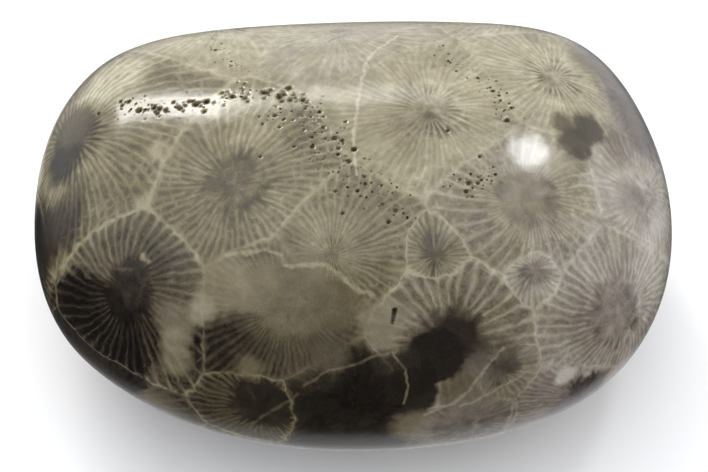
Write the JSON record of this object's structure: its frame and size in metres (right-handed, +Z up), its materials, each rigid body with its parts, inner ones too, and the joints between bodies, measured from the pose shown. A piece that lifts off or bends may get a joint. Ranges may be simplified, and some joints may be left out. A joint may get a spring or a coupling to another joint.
{
  "type": "polished fossil coral stone",
  "caption": "Hand-sized rounded pebble of fossil colonial coral, polished all over, with starburst corallites packed edge to edge and a small flat underneath that it rests on.",
  "frame": {"origin": "on the surface that the stone rests on, under the middle of its bounding box", "axes": "+X along the stone's length, +Y across it towards the fuller back edge, +Z up out of the crown"},
  "size_m": [0.066, 0.048, 0.031],
  "materials": {
    "polished_coral": "Calcite fossil coral polished to a gloss: grey-tan corallites with fine pale radiating septa and zigzag walls, brown to near-black where the rock is dark, with small dull pits"
  },
  "bodies": {
    "root": {"coral_stone": "polished_coral"}
  },
  "joints": []
}
